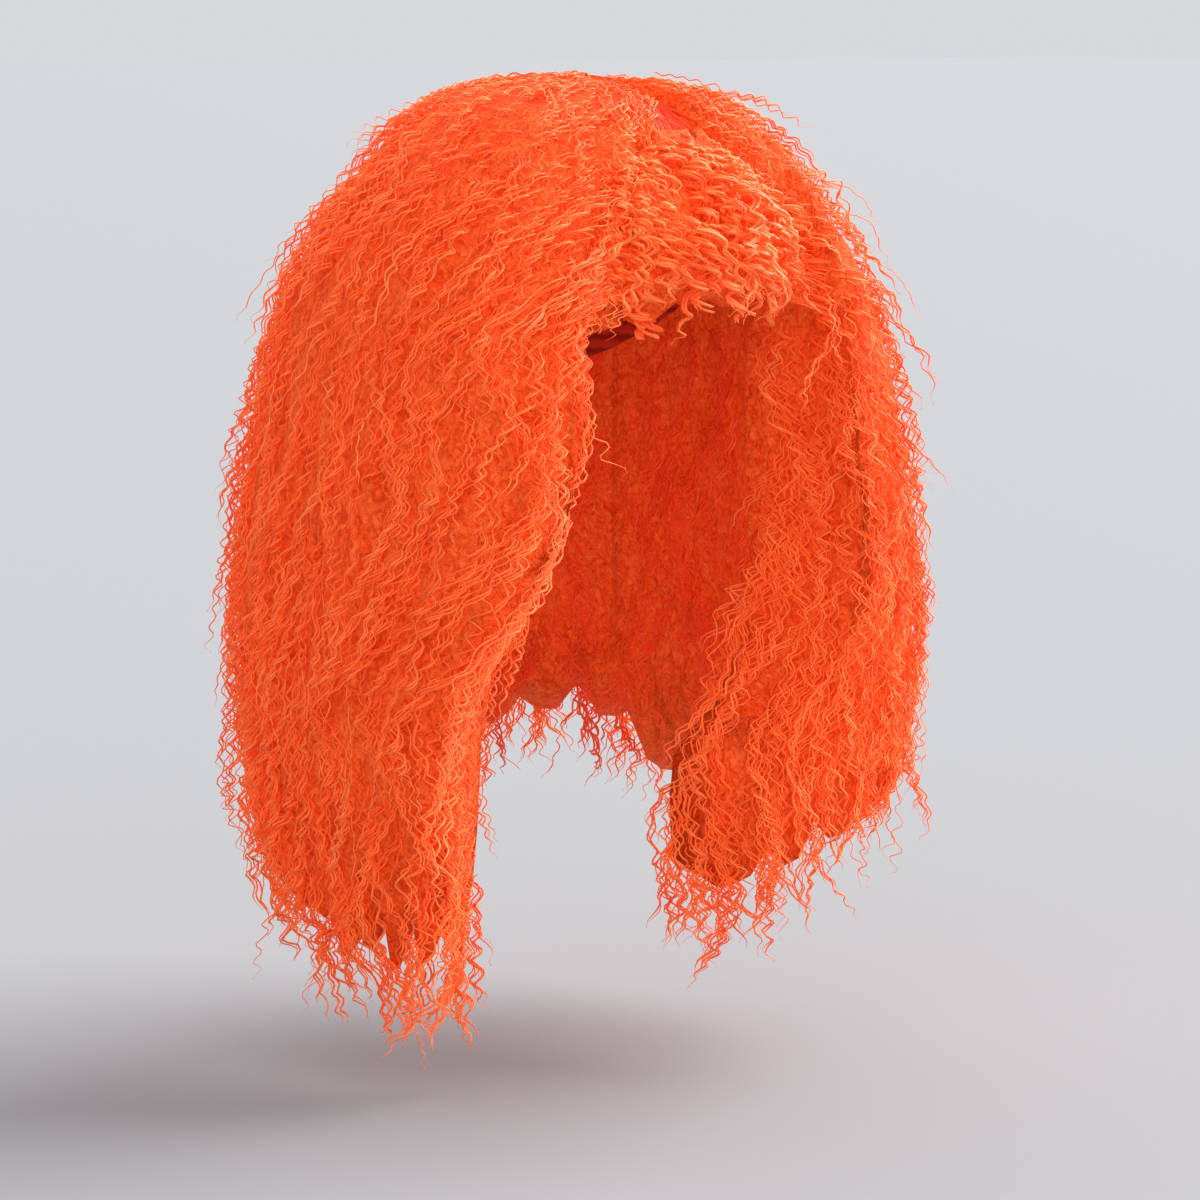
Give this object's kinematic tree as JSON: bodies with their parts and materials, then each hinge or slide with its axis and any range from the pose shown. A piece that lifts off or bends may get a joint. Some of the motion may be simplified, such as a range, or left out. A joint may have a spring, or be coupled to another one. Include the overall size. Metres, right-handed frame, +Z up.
{
  "type": "curly wig",
  "caption": "Voluminous shoulder-length curly wig with a short fringe, a side parting and long front locks, open below for the head.",
  "frame": {"origin": "the crown inside the cap, where the head bears", "axes": "+Z up, the face looks along -Y, +X is the wearer's left"},
  "size_m": [0.3675, 0.2927, 0.4956],
  "materials": {
    "cap_fabric": "knitted base with sewn rows of hair, dull",
    "parting_fibre": "fibre brushed flat, satin",
    "curly_fibre": "tightly curled synthetic fibre, soft sheen"
  },
  "bodies": {
    "root": {"cap": "cap_fabric", "parting": "parting_fibre", "fringe": "curly_fibre", "side_right": "curly_fibre", "side_left": "curly_fibre", "back": "curly_fibre"}
  },
  "joints": []
}
